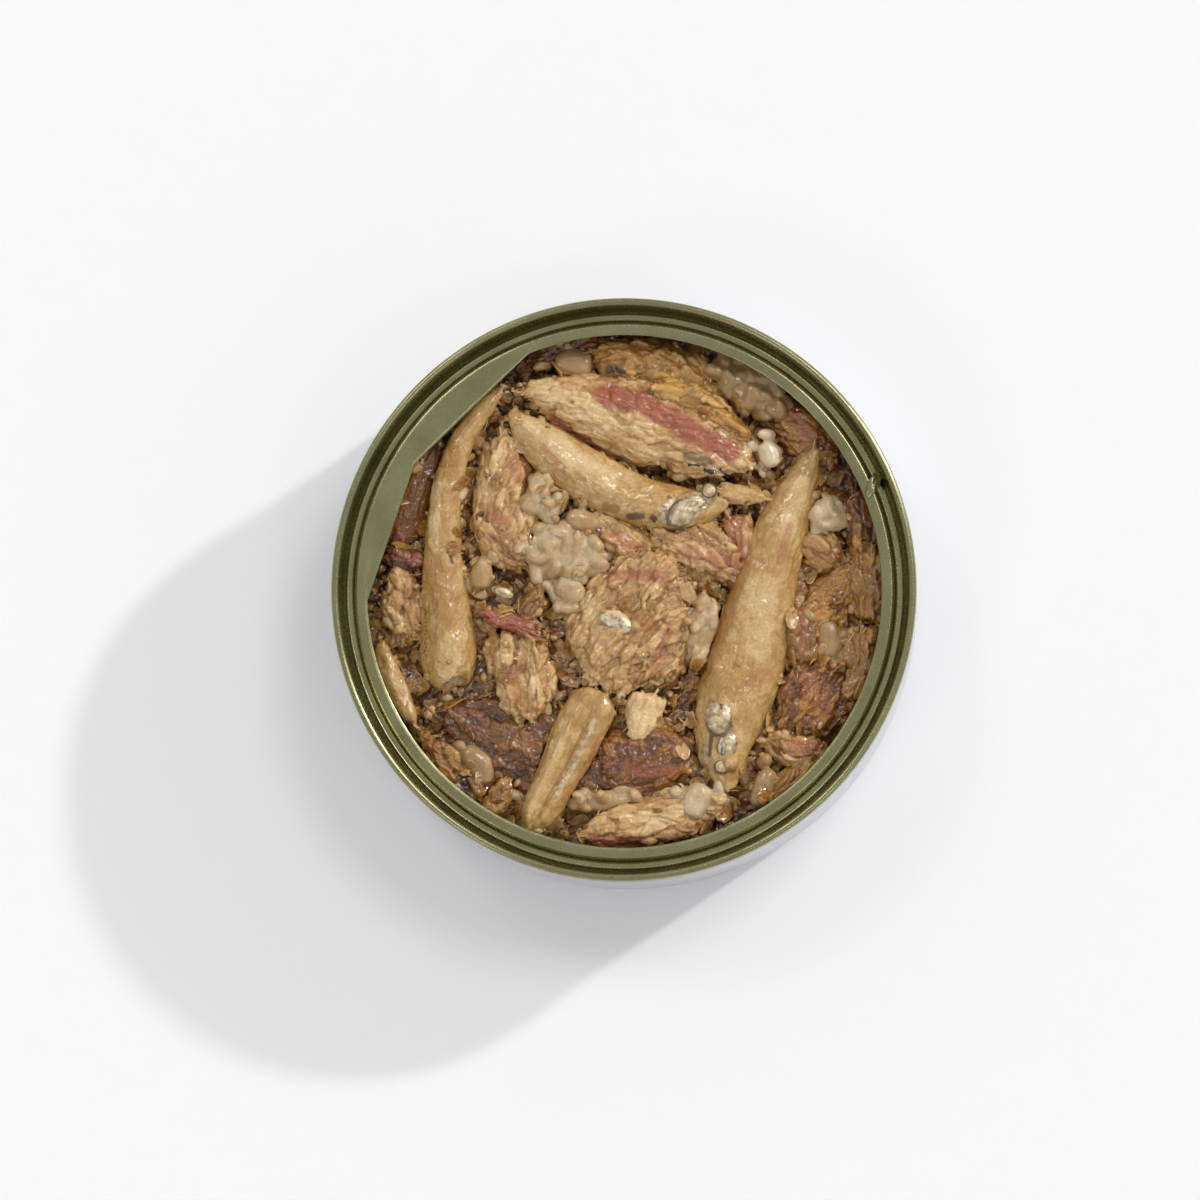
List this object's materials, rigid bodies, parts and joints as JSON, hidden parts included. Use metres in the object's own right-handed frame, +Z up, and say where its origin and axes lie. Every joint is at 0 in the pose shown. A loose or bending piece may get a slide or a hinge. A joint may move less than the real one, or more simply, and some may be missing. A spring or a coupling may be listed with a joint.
{
  "type": "open cat food tin",
  "caption": "Shallow round food tin with its ring-pull lid torn out, filled with small fish, tuna pieces and clumps of grain in jelly.",
  "frame": {"origin": "centre of the standing ring's flat underside", "axes": "+Z up through the open mouth; +Y toward the torn crescent's side, +X toward the flap at the lip"},
  "size_m": [0.0873, 0.0872, 0.026],
  "materials": {
    "dark_flesh": "gloss",
    "filling": "gloss",
    "fish_flesh": "gloss",
    "gold_lacquered_steel": "satin",
    "golden_flesh": "gloss",
    "grain": "gloss",
    "tinplate": "satin",
    "tuna_flesh": "gloss"
  },
  "bodies": {
    "root": {"bit_orange": "golden_flesh", "can_body": "tinplate", "end_ring": "gold_lacquered_steel", "fillet_low": "tuna_flesh", "fillet_right": "dark_flesh", "filling": "filling", "fish_left": "fish_flesh", "fish_middle": "fish_flesh", "fish_right": "fish_flesh", "fish_split": "fish_flesh", "flake_spike": "fish_flesh", "flake_white": "tuna_flesh", "flakes_left": "tuna_flesh", "flakes_top": "golden_flesh", "grain_clump_left": "grain", "grain_clump_low": "grain", "grain_clump_middle": "grain", "grain_clump_right": "grain", "grain_clump_side": "grain", "grain_clump_top": "grain", "sheet_brown": "dark_flesh", "sliver_pale": "fish_flesh", "strip_yellow": "golden_flesh", "tuna_brown_right": "dark_flesh", "tuna_centre": "tuna_flesh", "tuna_corner_low": "dark_flesh", "tuna_corner_right": "dark_flesh", "tuna_crumb_middle": "tuna_flesh", "tuna_dark_top": "dark_flesh", "tuna_folded": "tuna_flesh", "tuna_left": "tuna_flesh", "tuna_skin_dark": "dark_flesh", "tuna_spotted": "golden_flesh", "tuna_top": "tuna_flesh", "tuna_under_head": "tuna_flesh", "tuna_wall_lower": "golden_flesh", "tuna_wall_upper": "golden_flesh"}
  },
  "joints": []
}
